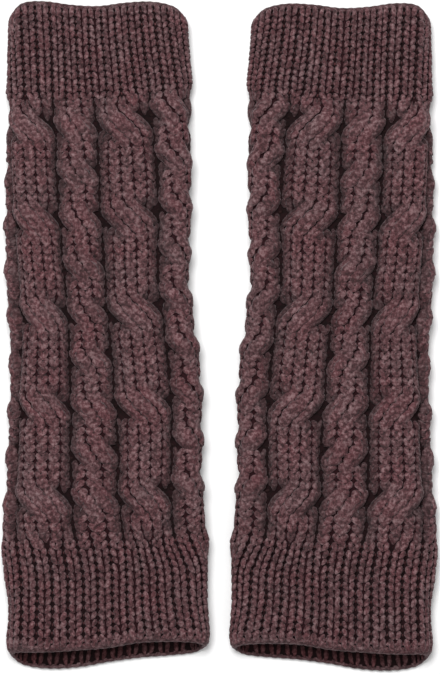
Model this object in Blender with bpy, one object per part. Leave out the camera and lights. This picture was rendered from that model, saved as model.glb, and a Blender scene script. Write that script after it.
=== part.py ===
"""Pair of long cable-knit arm warmers, open at both ends, laid flat side by side.

Each arm warmer is a tube knitted in the round from hand end to arm end: a ribbed cuff,
a cabled body and a second ribbed cuff.  The round is made of eight panels, narrow and wide
cables by turns, and each panel runs on into the cuffs as three or four ribs.  The right arm
warmer is the mirror image of the left.

Frame, in metres: +X to the right across the pair, +Y towards the hand ends, +Z up.  The
origin is the middle of the pair, on the surface that it lies on.
"""

import math
from collections import namedtuple

import bmesh
import bpy

MM = 0.001

# Driving sizes, in millimetres
WALL = 2.4  # the knit at the foot of a rib or between two cables
CROWN = 1.0  # how much higher the middle of the top lies than its sides
SEAM_GAP = 0.3  # between cuff and body
RELIEF_FADES = math.radians(75)  # how far round a fold ribs and cables begin to be pressed flat
RELIEF_ENDS = math.radians(135)  # and how far round they are flat
RIGHT_SHIFT = -0.9  # the right arm warmer lies this much further down the pair

# The round: eight panels, narrow and wide cables by turns, from the left fold over the top,
# down the right fold and back along the underside.
PANELS = ("narrow", "wide") * 4
RIBS_IN = {"narrow": 3, "wide": 4}
TOP_LEFT_EDGE = 2  # the edges 2, 3 and 4 between panels lie on the top, where they are measured

# The body's cables.  A place along the body goes from 0 at its hand end to 1 at its arm end.
ROWS_OF_FACES = 68
FIRST_CROSSING = 0.064
CROSSING_STEP = 0.1055  # a narrow cable crosses at every step, a wide one at every other
STEPS_PER_CROSSING = {"narrow": 1, "wide": 2}
CROSSING_SPAN = {"narrow": 0.082, "wide": 0.110}  # how much of the body one crossing takes
CABLE_SHARE = {"narrow": 0.91, "wide": 0.93}  # of its panel's width
STRAND_DOME = 2.3  # squareness of a section: 2 is an ellipse, and more is flatter
CABLE_DOME = 3.0
GROOVE = 0.28  # how deep the groove is between two strands side by side, as a share
OVER_LIFT = 0.22  # the strand on top rises by this share of the cable's height
UNDER_DROP = 0.50  # and the one beneath it sinks by this
LEAN = 0.35  # how much wider a slanting strand is along its row
CUFF_FADE = 0.035  # the share of the body over which a cable grows out of the cuff
LEAST_CABLE = 0.42  # its height where it starts, as a share

# Where a panel has its lines of points, as shares of its width from its left edge
CABLE_LINES = {
    "narrow": (0.0, 0.10, 0.24, 0.41, 0.59, 0.76, 0.90),
    "wide": (0.0, 0.07, 0.17, 0.30, 0.43, 0.57, 0.70, 0.83, 0.93),
}
FLAT_LINES = (0.0, 0.5)  # on the panels that lie on the surface
RIB_LINES = (0.0, 0.26, 0.74)  # the foot of a rib, then the two sides of its ridge
UNDERSIDE_PANELS = (6, 7)
INNER_LINES = 18
INNER_STEP = 22.0  # the longest stretch of the plain inside, end to end

# The left arm warmer's outline and panels, from hand end to arm end, in millimetres.
# left and right: its sides as seen from above.  edge_2, edge_3, edge_4: the edges between panels
# that lie on the top.  wide_left: the width round the tube of the wide panel on the left, and
# narrow_side: that of the narrow panels at the folds.  fold: the radius of the folds without the
# relief.  relief: the height of ribs or cables.
Section = namedtuple("Section", "y left right edge_2 edge_3 edge_4 wide_left narrow_side fold relief")
SECTIONS = (
    Section(150.1, -95.4, -14.2, -76.7, -59.4, -36.0, 25.7, 18.0, 5.2, 1.6),
    Section(128.9, -95.6, -13.3, -75.4, -58.3, -34.0, 26.1, 18.4, 5.4, 1.6),
    Section(109.6, -96.3, -11.9, -74.9, -56.9, -31.5, 25.2, 18.4, 5.6, 1.8),
    Section(99.7, -97.0, -11.0, -74.5, -55.6, -31.1, 24.3, 18.9, 6.2, 3.4),
    Section(88.4, -97.9, -10.1, -73.6, -54.7, -29.9, 23.9, 19.4, 6.4, 4.0),
    Section(68.2, -97.9, -10.1, -72.7, -54.2, -27.7, 23.4, 19.4, 6.4, 4.0),
    Section(43.4, -97.7, -10.8, -71.1, -52.4, -27.4, 22.5, 19.4, 6.4, 4.0),
    Section(20.9, -96.8, -11.9, -68.9, -51.1, -27.4, 22.5, 19.4, 6.4, 4.0),
    Section(-1.6, -95.4, -9.2, -67.5, -49.3, -24.5, 22.9, 19.4, 6.4, 4.0),
    Section(-21.8, -95.6, -6.5, -67.0, -47.5, -22.3, 24.8, 19.4, 6.4, 4.0),
    Section(-46.6, -96.5, -6.3, -66.6, -45.7, -21.2, 25.7, 19.4, 6.4, 4.0),
    Section(-69.1, -97.4, -6.1, -66.4, -45.5, -21.6, 27.0, 19.4, 6.4, 4.0),
    Section(-83.5, -98.5, -4.5, -65.9, -43.9, -21.4, 27.0, 19.8, 6.4, 3.6),
    Section(-93.8, -98.5, -4.5, -63.7, -42.5, -19.6, 27.4, 19.8, 6.2, 2.0),
    Section(-107.3, -97.0, -5.2, -61.2, -41.6, -14.6, 27.9, 20.2, 6.2, 1.6),
    Section(-120.8, -95.2, -5.2, -61.0, -41.6, -13.7, 27.9, 20.2, 6.3, 1.6),
    Section(-138.8, -96.5, -3.8, -60.8, -40.7, -10.6, 28.8, 20.7, 6.6, 1.6),
)

# Where the knit's four cross lines run, at places across the top from the left side (0) to the
# right side (1): the two rims and the two joints between cuffs and body.  The under layer's
# rims have lines of their own, and at the arm end it reaches out past the top layer.
CrossLine = namedtuple("CrossLine", "across hand_rim hand_joint arm_joint arm_rim hand_under arm_under")
CROSS_LINES = (
    CrossLine(0.00, 145.1, 106.4, -92.0, -141.1, 143.8, -144.2),
    CrossLine(0.08, 150.1, 106.4, -91.6, -142.0, 147.8, -148.3),
    CrossLine(0.20, 151.0, 106.4, -91.6, -142.0, 148.7, -150.2),
    CrossLine(0.35, 149.4, 106.2, -91.6, -141.1, 147.2, -149.6),
    CrossLine(0.50, 148.8, 106.7, -91.6, -140.0, 146.6, -147.2),
    CrossLine(0.65, 150.3, 107.8, -91.6, -137.7, 148.1, -145.3),
    CrossLine(0.80, 150.8, 109.6, -90.2, -137.2, 148.5, -144.2),
    CrossLine(0.92, 148.7, 110.9, -88.4, -137.7, 146.5, -142.9),
    CrossLine(1.00, 144.2, 111.4, -88.0, -138.8, 142.9, -140.2),
)
MEAN_LINE = 3  # the row of CROSS_LINES that says how far along the outline a line is

# The three stretches of the tube: first and last cross line, with the under layer's own where it
# has one, and how many rows of faces it takes.
Stretch = namedtuple("Stretch", "name kind first last first_under last_under rows")
STRETCHES = (
    Stretch("hand_cuff", "rib", "hand_rim", "hand_joint", "hand_under", "hand_joint", 5),
    Stretch("cable_body", "cable", "hand_joint", "arm_joint", "hand_joint", "arm_joint", ROWS_OF_FACES),
    Stretch("arm_cuff", "rib", "arm_joint", "arm_rim", "arm_joint", "arm_under", 6),
)

YARN_COLOUR = (0.155, 0.078, 0.085, 1.0)
YARN_ROUGHNESS = 0.9


def mix(a, b, share):
    return a + (b - a) * share


def clamp(value, low, high):
    return max(low, min(high, value))


def smooth_lookup(table, key, at, column):
    """The column's value at a place along the table, on a smooth curve through its rows."""
    places = [getattr(row, key) for row in table]
    values = [getattr(row, column) for row in table]
    if places[0] > places[-1]:
        places = [-place for place in places]
        at = -at
    at = clamp(at, places[0], places[-1])
    last = len(places) - 1
    i = next((n for n in range(last) if at <= places[n + 1]), last - 1)

    def slope(n):
        before, after = max(n - 1, 0), min(n + 1, last)
        return (values[after] - values[before]) / (places[after] - places[before])

    width = places[i + 1] - places[i]
    s = (at - places[i]) / width
    rise = values[i + 1] - values[i]
    start, end = slope(i) * width, slope(i + 1) * width
    return values[i] + s * start + s * s * (3 * rise - 2 * start - end) + s**3 * (start + end - 2 * rise)


class Round:
    """One round of the knit, as it lies: flat above and below, with a fold at each side."""

    def __init__(self, y):
        at = Section(y, *(smooth_lookup(SECTIONS, "y", y, name) for name in Section._fields[1:]))
        self.fold = at.fold
        self.relief = at.relief
        self.side_left, self.side_right = at.left, at.right
        self.left = at.left + at.relief + at.fold
        self.right = at.right - at.relief - at.fold
        self.bend = at.fold + at.relief / 2
        self.flat = self.right - self.left
        self.length = 2 * self.flat + 2 * math.pi * self.bend
        on_top = [edge - self.left for edge in (at.edge_2, at.edge_3, at.edge_4)]
        first = on_top[0] - at.wide_left
        self.edges = [first - at.narrow_side, first, *on_top, on_top[2] + at.narrow_side]
        rest = self.edges[0] + self.length - self.edges[5]
        wide = rest * RIBS_IN["wide"] / (2 * RIBS_IN["wide"] + RIBS_IN["narrow"])
        self.edges += [self.edges[5] + wide, self.edges[0] + self.length - wide, self.edges[0] + self.length]

    def along(self, panel, share):
        """The distance round the tube of a place in a panel, from the left fold's axis over the top."""
        return mix(self.edges[panel], self.edges[panel + 1], share)

    def place(self, along, height):
        """(x, z, depth) at a distance round the tube and a height over the wall's foot.  depth goes
        from 0 on top to 1 on the underside, where ribs and cables are pressed flat."""
        past_fold = along - self.flat if along > self.flat else max(0.0, -along)
        angle = min(past_fold / self.bend, math.pi)
        if height > 0:
            height *= clamp((RELIEF_ENDS - angle) / (RELIEF_ENDS - RELIEF_FADES), 0.0, 1.0)
        outwards = (self.fold + height) * math.sin(angle)
        inwards = max(0.0, past_fold - math.pi * self.bend)
        if along > self.flat:
            x = self.right + outwards - inwards
        elif along < 0:
            x = self.left - outwards + inwards
        else:
            x = self.left + along
        z = max(0.0, self.fold + (self.fold + height) * math.cos(angle))
        across = clamp((x - self.left) / self.flat, 0.0, 1.0)
        z += CROWN * (1 - (2 * across - 1) ** 2) * z / (2 * self.fold)
        return x, z, (1 - math.cos(angle)) / 2


def cross_line(name, under_name, x, depth, tube_round):
    """The y of a cross line, above or below or in between at a fold."""
    across = clamp((x - tube_round.side_left) / (tube_round.side_right - tube_round.side_left), 0.0, 1.0)
    top = smooth_lookup(CROSS_LINES, "across", across, name)
    under = smooth_lookup(CROSS_LINES, "across", across, under_name)
    return mix(top, under, depth)


def dome(off, half, squareness):
    """The height of a rounded section, as a share, this far off its middle."""
    return max(0.0, 1 - abs(off / half) ** squareness) ** (1 / squareness)


def cable_height(kind, share, place):
    """The height of a cable over the wall, as a share of the relief.  share goes across its
    panel and place along the body.  At each crossing the strand on the left passes over to
    the right, and the one beneath it comes out on the left."""
    half = CABLE_SHARE[kind] / 2
    off = share - 0.5
    if abs(off) >= half:
        return 0.0
    steps = STEPS_PER_CROSSING[kind] * CROSSING_STEP
    crossing = FIRST_CROSSING + steps * round((place - FIRST_CROSSING) / steps)
    part = clamp(2 * (place - crossing) / CROSSING_SPAN[kind], -1.0, 1.0)
    crossed = math.cos(part * math.pi / 2) ** 2
    middle = half / 2 * math.sin(part * math.pi / 2)
    strand = half / 2 * (1 + LEAN * crossed)
    over = dome(off - middle, strand, STRAND_DOME) * (1 + OVER_LIFT * crossed)
    under = dome(off + middle, strand, STRAND_DOME) * (1 - UNDER_DROP * crossed)
    between = dome(off, half, CABLE_DOME) * (1 - GROOVE) * (1 - crossed)
    grown = clamp(min(place, 1 - place) / CUFF_FADE, 0.0, 1.0)
    return max(over, under, between) * mix(LEAST_CABLE, 1.0, grown)


def lines_round(kind):
    """(panel, share, line in its rib) of each line of points along a stretch."""
    found = []
    for panel, width in enumerate(PANELS):
        if kind == "cable":
            shares = FLAT_LINES if panel in UNDERSIDE_PANELS else CABLE_LINES[width]
            found += [(panel, share, 0.0) for share in shares]
            continue
        ribs = RIBS_IN[width]
        for rib in range(ribs):
            in_rib = FLAT_LINES[:1] if panel in UNDERSIDE_PANELS else RIB_LINES
            found += [(panel, (rib + at) / ribs, at) for at in in_rib]
    return found


def mean_y(stretch, part):
    """The y that stands for a whole round.  part goes from 0 at the stretch's hand end to 1."""
    row = CROSS_LINES[MEAN_LINE]
    return mix(getattr(row, stretch.first), getattr(row, stretch.last), part)


def stretch_point(stretch, part, panel, share, height_share, inside):
    """A point of the wall, in millimetres."""
    tube_round = Round(mean_y(stretch, part))
    if inside:
        along = mix(tube_round.edges[0], tube_round.edges[-1], share)
        x, z, depth = tube_round.place(along, -WALL)
    else:
        x, z, depth = tube_round.place(tube_round.along(panel, share), height_share * tube_round.relief)
    first = cross_line(stretch.first, stretch.first_under, x, depth, tube_round)
    last = cross_line(stretch.last, stretch.last_under, x, depth, tube_round)
    first -= SEAM_GAP / 2 if stretch.first.endswith("joint") else 0.0
    last += SEAM_GAP / 2 if stretch.last.endswith("joint") else 0.0
    return x, mix(first, last, part), z


def outer_rings(stretch):
    lines = lines_round(stretch.kind)
    rings = []
    for row in range(stretch.rows + 1):
        part = row / stretch.rows
        ring = []
        for panel, share, in_rib in lines:
            if stretch.kind == "cable":
                height = cable_height(PANELS[panel], share, part)
            else:
                height = 1.0 if in_rib else 0.0
            ring.append(stretch_point(stretch, part, panel, share, height, inside=False))
        rings.append(ring)
    return rings


def inner_rings(stretch):
    rows = max(1, round((mean_y(stretch, 0) - mean_y(stretch, 1)) / INNER_STEP))
    return [
        [stretch_point(stretch, row / rows, 0, n / INNER_LINES, 0.0, inside=True) for n in range(INNER_LINES)]
        for row in range(rows + 1)
    ]


def skin_between_rings(mesh, rings):
    """Quads along a tube whose rings all have the same number of points."""
    count = len(rings[0])
    for near, far in zip(rings, rings[1:]):
        for n in range(count):
            after = (n + 1) % count
            mesh.faces.new((near[n], near[after], far[after], far[n]))


def close_rim(mesh, outer, outer_shares, inner):
    """Triangles between the outer and the inner ring of a rim, in step round the tube."""
    inner_shares = [n / len(inner) for n in range(len(inner))] + [1.0]
    outer_shares = [*outer_shares, 1.0]
    o = i = 0
    while o < len(outer) or i < len(inner):
        at_outer, at_inner = outer[o % len(outer)], inner[i % len(inner)]
        outer_next = outer_shares[o + 1] if o < len(outer) else math.inf
        inner_next = inner_shares[i + 1] if i < len(inner) else math.inf
        if outer_next <= inner_next:
            mesh.faces.new((at_outer, outer[(o + 1) % len(outer)], at_inner))
            o += 1
        else:
            mesh.faces.new((at_outer, inner[(i + 1) % len(inner)], at_inner))
            i += 1


def shares_round(stretch, part):
    """How far round the tube each of the outer lines is, as a share."""
    tube_round = Round(mean_y(stretch, part))
    places = [tube_round.along(panel, share) for panel, share, _ in lines_round(stretch.kind)]
    return [(place - tube_round.edges[0]) / tube_round.length for place in places]


def knitted_tube(name, stretch, mirrored, material):
    """One stretch of an arm warmer as a closed wall, open through its middle."""
    side = -1 if mirrored else 1
    shift = RIGHT_SHIFT if mirrored else 0.0
    mesh = bmesh.new()

    def add(x, y, z):
        return mesh.verts.new((side * x * MM, (y + shift) * MM, z * MM))

    outer = [[add(*point) for point in ring] for ring in outer_rings(stretch)]
    inner = [[add(*point) for point in ring] for ring in inner_rings(stretch)]
    skin_between_rings(mesh, outer)
    skin_between_rings(mesh, inner)
    close_rim(mesh, outer[0], shares_round(stretch, 0.0), inner[0])
    close_rim(mesh, outer[-1], shares_round(stretch, 1.0), inner[-1])
    bmesh.ops.recalc_face_normals(mesh, faces=mesh.faces)
    bmesh.ops.triangulate(mesh, faces=mesh.faces)
    data = bpy.data.meshes.new(name)
    mesh.to_mesh(data)
    mesh.free()
    data.materials.append(material)
    data.shade_smooth()
    tube = bpy.data.objects.new(name, data)
    bpy.context.scene.collection.objects.link(tube)
    return tube


def yarn_material():
    material = bpy.data.materials.new("mauve_yarn")
    material.use_nodes = True
    shader = material.node_tree.nodes["Principled BSDF"]
    shader.inputs["Base Color"].default_value = YARN_COLOUR
    shader.inputs["Roughness"].default_value = YARN_ROUGHNESS
    shader.inputs["Metallic"].default_value = 0.0
    return material


def main():
    for obj in list(bpy.data.objects):
        bpy.data.objects.remove(obj)
    yarn = yarn_material()
    for hand, mirrored in (("left", False), ("right", True)):
        for stretch in STRETCHES:
            knitted_tube(f"{hand}_{stretch.name}", stretch, mirrored, yarn)


main()
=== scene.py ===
"""A pair of long cable-knit arm warmers, laid flat side by side and seen from above.

The knitted wall is a thin shell on the form of the solids, and every stitch on it is a piece of
yarn of its own: the legs of the knit stitches, the bumps of the purl stitches between ribs and
between cables, and the links of the chain at the arm end.  A short length of yarn is modelled
once, and it is copied along each column of stitches.  A rolled edge ends the knit at each rim.
The right arm warmer is the mirror image of the left.

Lengths are in millimetres up to the moment a mesh is made.
"""

import math
from collections import namedtuple

import bpy
import numpy as np
from mathutils import Matrix, Vector


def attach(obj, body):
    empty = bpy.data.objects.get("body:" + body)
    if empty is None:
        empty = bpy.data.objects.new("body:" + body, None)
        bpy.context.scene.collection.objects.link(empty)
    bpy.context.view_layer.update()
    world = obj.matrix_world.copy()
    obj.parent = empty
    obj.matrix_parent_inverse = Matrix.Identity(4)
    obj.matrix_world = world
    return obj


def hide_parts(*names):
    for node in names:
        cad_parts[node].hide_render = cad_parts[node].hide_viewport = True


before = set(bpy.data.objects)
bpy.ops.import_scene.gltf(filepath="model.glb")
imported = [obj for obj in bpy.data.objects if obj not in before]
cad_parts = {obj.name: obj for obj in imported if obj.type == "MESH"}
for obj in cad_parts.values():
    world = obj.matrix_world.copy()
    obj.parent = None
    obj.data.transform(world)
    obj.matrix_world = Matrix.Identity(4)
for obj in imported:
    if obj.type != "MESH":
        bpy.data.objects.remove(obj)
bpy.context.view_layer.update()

MM = 0.001

# The form of the knit, as the solids have it
WALL = 2.4
CROWN = 1.0  # how much higher a tube is along its middle
RIGHT_SHIFT = -0.9  # the right arm warmer lies this far towards the arm end
RELIEF_FADES = math.radians(75)  # round the folds the relief fades out between these two angles
RELIEF_ENDS = math.radians(135)
PANELS = ("narrow", "wide") * 4
RIBS_IN = {"narrow": 3, "wide": 4}

# Rows of stitches, counted from the hand end
HAND_ROWS = 14
BODY_ROWS = 51
ARM_ROWS = 14
BODY_START = HAND_ROWS
BODY_END = HAND_ROWS + BODY_ROWS
LAST_ROW = BODY_END + ARM_ROWS
ROW_MARKS = (0, BODY_START, BODY_END, LAST_ROW)
ROW_PITCH = 3.3  # millimetres from row to row, past the rims
JOINT_SPAN = 2.6  # rows over which ribs run into cables

# The cables.  In each, the wales of knit stitches on the left pass over those on the right.
# Crossings are placed by shares of the body's length.
WALES = {"narrow": 3, "wide": 5}
OVER_WALES = {"narrow": 2, "wide": 3}
RIB_OF_WALE = {"narrow": (0, 1, 2), "wide": (0, 1, None, 2, 3)}
FIRST_CROSSING = 0.064
CROSSING_STEP = 0.1055
STEPS_PER_CROSSING = {"narrow": 1, "wide": 2}
LAST_CROSSING = {"narrow": 8, "wide": 4}
CROSSING_SPAN = {"narrow": 0.080, "wide": 0.104}
CABLE_SHARE = {"narrow": 0.92, "wide": 0.93}
CABLE_PINCH = 0.05  # how much narrower a cable is where its strands cross
CABLE_DOME = 2.1  # how square its section is, where 2 is round
CABLE_TALL = {"narrow": 0.50, "wide": 0.38}  # a cable's height over half its width
STRAND_DOME = 2.0
STRAND_TALL = {"narrow": 0.75, "wide": 0.62}
SIDE_DEPTH = 0.40  # how far a cable's sides go down past the wall, as a share of the relief
OVER_LIFT = 0.18  # how much prouder a strand stands where it passes over the other
UNDER_HEIGHT = -0.08  # how high the strand beneath lies where it is buried
UNDER_SINK = 1.0  # how far it sinks there where the relief is pressed flat, in millimetres
LEAN = 0.52  # how much wider a strand is, measured along a row, where it slants across
OVER_HASTE = 1.2  # how much sooner than its span a strand is across
UNDER_HASTE = 1.45
BURIED_TO = 0.20  # how far from the middle of a crossing the strand beneath is wholly buried
BURIED_SPAN = 0.70
OUT_OF_SIGHT = 0.85  # a stitch buried deeper than this isn't made
CUFF_FADE = 0.035  # a cable grows from its least height over this share of the body
LEAST_CABLE = 0.55
EARLY_PANEL = 4  # this panel's crossings come a little nearer the hand end
EARLY_BY = 0.022

# The ribs
RIB_RIDGE = 1.00  # how far apart the two legs of a rib stand, over half the ribs' distance
RIB_DOME = 2.2
RIB_RISE = 1.15  # the yarn stands this much prouder than the solid's ridge
RIB_TOP = 0.8  # how much of a ridge's width the legs on it take up
SPARE_WALE_WIDTH = 0.1  # a wide cable's middle wale starts this narrow, between two ribs
SPARE_WALE_HEIGHT = -0.3

# Between these ribs, by panel and number, the valleys are shallow, as the knit is stretched there
SHALLOW_RIBS = {(2, 1): 0.4, (2, 2): 0.8, (3, 0): 1.0, (3, 1): 0.8, (3, 2): 0.4}
SHALLOW_APART = 0.05  # how much further apart the legs of such a rib stand
SHALLOW_YARN = -0.55  # and how high the purl stitches between them lie

# The rims, where the ribs end in a plain band that curls over a little
RIM_BAND_START = 0.3
RIM_BAND_ROWS = 1.6
RIM_BAND_RISE = 0.35
RIM_CURL = 0.9  # in millimetres
RIM_CURL_ROWS = 1.4
RIM_LEG = 1.0  # the last legs' middles are this many rows from the rim

# The yarn
YARN_DEEP = 0.75  # half a strand of yarn, out from the wall
WALL_UNDER_YARN = 1.2  # how far the wall's outside lies under the yarn's
WALL_RELIEF = 0.92  # the wall's relief, next to the yarn's

# The left arm warmer from the hand end down: its two sides, where panels 2, 3 and 4 start, how wide
# panel 1 is and panels 0 and 4 are, half the tube's thickness, and how proud ribs or cables stand
Section = namedtuple("Section", "y left right edge_2 edge_3 edge_4 wide_left narrow_side fold relief")
SECTIONS = (
    Section(150.1, -95.4, -14.2, -76.7, -59.4, -36.0, 25.7, 18.0, 5.2, 1.6),
    Section(128.9, -95.6, -13.3, -75.4, -58.3, -34.0, 26.1, 18.4, 5.4, 1.6),
    Section(109.6, -96.3, -11.9, -74.9, -56.9, -31.5, 25.2, 18.4, 5.6, 1.8),
    Section(99.7, -97.0, -11.0, -74.5, -55.6, -31.1, 24.3, 18.9, 6.2, 3.4),
    Section(88.4, -97.9, -10.1, -73.6, -54.7, -29.9, 23.9, 19.4, 6.4, 4.0),
    Section(68.2, -97.9, -10.1, -72.7, -54.2, -27.7, 23.4, 19.4, 6.4, 4.0),
    Section(43.4, -97.7, -10.8, -71.1, -52.4, -27.4, 22.5, 19.4, 6.4, 4.0),
    Section(20.9, -96.8, -11.9, -68.9, -51.1, -27.4, 22.5, 19.4, 6.4, 4.0),
    Section(-1.6, -95.4, -9.2, -67.5, -49.3, -24.5, 22.9, 19.4, 6.4, 4.0),
    Section(-21.8, -95.6, -6.5, -67.0, -47.5, -22.3, 24.8, 19.4, 6.4, 4.0),
    Section(-46.6, -96.5, -6.3, -66.6, -45.7, -21.2, 25.7, 19.4, 6.4, 4.0),
    Section(-69.1, -97.4, -6.1, -66.4, -45.5, -21.6, 27.0, 19.4, 6.4, 4.0),
    Section(-83.5, -98.5, -4.5, -65.9, -43.9, -21.4, 27.0, 19.8, 6.4, 3.6),
    Section(-93.8, -98.5, -4.5, -63.7, -42.5, -19.6, 27.4, 19.8, 6.2, 2.0),
    Section(-107.3, -97.0, -5.2, -61.2, -41.6, -14.6, 27.9, 20.2, 6.2, 1.6),
    Section(-120.8, -95.2, -5.2, -61.0, -41.6, -13.7, 27.9, 20.2, 6.3, 1.6),
    Section(-138.8, -96.5, -3.8, -60.8, -40.7, -10.6, 28.8, 20.7, 6.6, 1.6),
)

# Where its rims and joints run, from its left side to its right one, and the underside's rims
CrossLine = namedtuple("CrossLine", "across hand_rim hand_joint arm_joint arm_rim hand_under arm_under")
CROSS_LINES = (
    CrossLine(0.00, 145.1, 106.4, -92.0, -141.1, 143.8, -144.2),
    CrossLine(0.08, 150.1, 106.4, -91.6, -142.0, 147.8, -148.3),
    CrossLine(0.20, 151.0, 106.4, -91.6, -142.0, 148.7, -150.2),
    CrossLine(0.35, 149.4, 106.2, -91.6, -141.1, 147.2, -149.6),
    CrossLine(0.50, 148.8, 106.7, -91.6, -140.0, 146.6, -147.2),
    CrossLine(0.65, 150.3, 107.8, -91.6, -137.7, 148.1, -145.3),
    CrossLine(0.80, 150.8, 109.6, -90.2, -137.2, 148.5, -144.2),
    CrossLine(0.92, 148.7, 110.9, -88.4, -137.7, 146.5, -142.9),
    CrossLine(1.00, 144.2, 111.4, -88.0, -138.8, 142.9, -140.2),
)
MEAN_LINE = CROSS_LINES[3]
MEAN_YS = (MEAN_LINE.hand_rim, MEAN_LINE.hand_joint, MEAN_LINE.arm_joint, MEAN_LINE.arm_rim)


# ---------------------------------------------------------------- the form of the knit


def mix(a, b, share):
    return a + (b - a) * share


def smooth_step(x):
    x = np.clip(x, 0.0, 1.0)
    return x * x * (3 - 2 * x)


def smooth_lookup(table, key, at, column):
    """The column's value at a place along the table, on a smooth curve through its rows."""
    places = [getattr(row, key) for row in table]
    values = [getattr(row, column) for row in table]
    if places[0] > places[-1]:
        places = [-place for place in places]
        at = -at
    at = max(places[0], min(places[-1], at))
    last = len(places) - 1
    i = next((n for n in range(last) if at <= places[n + 1]), last - 1)

    def slope(n):
        before, after = max(n - 1, 0), min(n + 1, last)
        return (values[after] - values[before]) / (places[after] - places[before])

    width = places[i + 1] - places[i]
    s = (at - places[i]) / width
    rise = values[i + 1] - values[i]
    start, end = slope(i) * width, slope(i + 1) * width
    return values[i] + s * start + s * s * (3 * rise - 2 * start - end) + s**3 * (start + end - 2 * rise)


def drawn_out(table, key, places):
    """Each of a table's columns as a fine curve, read with np.interp."""
    columns = [name for name in table[0]._fields if name != key]
    return {name: np.array([smooth_lookup(table, key, at, name) for at in places]) for name in columns}


FINE_Y = np.arange(-151.0, 152.0, 0.5)
FINE_SECTIONS = drawn_out(SECTIONS, "y", FINE_Y)
FINE_ACROSS = np.linspace(0.0, 1.0, 161)
FINE_LINES = drawn_out(CROSS_LINES, "across", FINE_ACROSS)

Round = namedtuple("Round", "fold relief side_left side_right left right bend flat length edges")


def round_at(row):
    """The rounds of the tube at these rows: flat above and below, with a fold at each side."""
    y = np.interp(row, ROW_MARKS, MEAN_YS)
    at = {name: np.interp(y, FINE_Y, values) for name, values in FINE_SECTIONS.items()}
    fold, relief = at["fold"], at["relief"]
    left = at["left"] + relief + fold
    right = at["right"] - relief - fold
    bend = fold + relief / 2
    flat = right - left
    length = 2 * flat + 2 * math.pi * bend
    e2, e3, e4 = (at[name] - left for name in ("edge_2", "edge_3", "edge_4"))
    e1 = e2 - at["wide_left"]
    e0 = e1 - at["narrow_side"]
    e5 = e4 + at["narrow_side"]
    wide = (e0 + length - e5) * RIBS_IN["wide"] / (2 * RIBS_IN["wide"] + RIBS_IN["narrow"])
    edges = (e0, e1, e2, e3, e4, e5, e5 + wide, e0 + length - wide, e0 + length)
    return Round(fold, relief, at["left"], at["right"], left, right, bend, flat, length, edges)


def along_panel(tube, panel, share):
    """The distance round the tube of a place in a panel, from the left fold's axis over the top."""
    return mix(tube.edges[panel], tube.edges[panel + 1], share)


def fold_angle(tube, along):
    past_fold = np.where(along > tube.flat, along - tube.flat, np.maximum(0.0, -along))
    return past_fold, np.minimum(past_fold / tube.bend, math.pi)


def standing(tube, along):
    """How much of the relief stands here: all of it on top, none on the underside."""
    angle = fold_angle(tube, along)[1]
    return np.clip((RELIEF_ENDS - angle) / (RELIEF_ENDS - RELIEF_FADES), 0.0, 1.0)


def cross_line(name, x, tube):
    across = (x - tube.side_left) / (tube.side_right - tube.side_left)
    return np.interp(across, FINE_ACROSS, FINE_LINES[name])


def lay(row, along, height):
    """Where a place in the knit lies, in millimetres, as an array of points."""
    tube = round_at(row)
    past_fold, angle = fold_angle(tube, along)
    outwards = (tube.fold + height) * np.sin(angle)
    inwards = np.maximum(0.0, past_fold - math.pi * tube.bend)
    round_right = tube.right + outwards - inwards
    round_left = tube.left - outwards + inwards
    x = np.where(along > tube.flat, round_right, np.where(along < 0, round_left, tube.left + along))
    z = tube.fold + (tube.fold + height) * np.cos(angle)
    across = np.clip((x - tube.left) / tube.flat, 0.0, 1.0)
    z = z + CROWN * (1 - (2 * across - 1) ** 2) * z / (2 * tube.fold)
    depth = (1 - np.cos(angle)) / 2
    past_rim = np.clip(1 - np.minimum(row, LAST_ROW - row) / RIM_CURL_ROWS, 0.0, 1.5)
    z = z - RIM_CURL * past_rim**2 * (1 - depth)
    rim = mix(cross_line("hand_rim", x, tube), cross_line("hand_under", x, tube), depth)
    joint = cross_line("hand_joint", x, tube)
    far_joint = cross_line("arm_joint", x, tube)
    far_rim = mix(cross_line("arm_rim", x, tube), cross_line("arm_under", x, tube), depth)
    y = rim + (joint - rim) * np.clip(row / HAND_ROWS, 0, 1)
    y = y + (far_joint - joint) * np.clip((row - BODY_START) / BODY_ROWS, 0, 1)
    y = y + (far_rim - far_joint) * np.clip((row - BODY_END) / ARM_ROWS, 0, 1)
    y = y - ROW_PITCH * (np.minimum(row, 0) + np.maximum(row - LAST_ROW, 0))
    return np.stack(np.broadcast_arrays(x, y, z), axis=-1)


def dome(off, half, squareness):
    """The height of a rounded section, as a share, this far off its middle."""
    return np.maximum(0.0, 1 - np.abs(off / half) ** squareness) ** (1 / squareness)


def round_section(squareness, tall):
    """Half a rounded section, from its top to its edge, walked at an even pace: the share of the way,
    and how far off the middle and how high it is there, as shares."""
    turn = np.linspace(0, math.pi / 2, 400)
    off = np.sin(turn) ** (2 / squareness)
    height = np.cos(turn) ** (2 / squareness)
    steps = np.hypot(np.diff(off), np.diff(height) * tall)
    walked = np.concatenate([[0.0], np.cumsum(steps)])
    return walked / walked[-1], off, height


CABLE_SECTION = {kind: round_section(CABLE_DOME, CABLE_TALL[kind]) for kind in WALES}
STRAND_SECTION = {kind: round_section(STRAND_DOME, STRAND_TALL[kind]) for kind in WALES}


def walk(section, share):
    """How far off the middle and how high a section is, this share of the way from its top to its
    right edge, or to its left one if share is below 0."""
    walked, off, height = section
    way = np.abs(share)
    return np.sign(share) * np.interp(way, walked, off), np.interp(way, walked, height)


Crossing = namedtuple("Crossing", "number part crossed way under_way buried")


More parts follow.
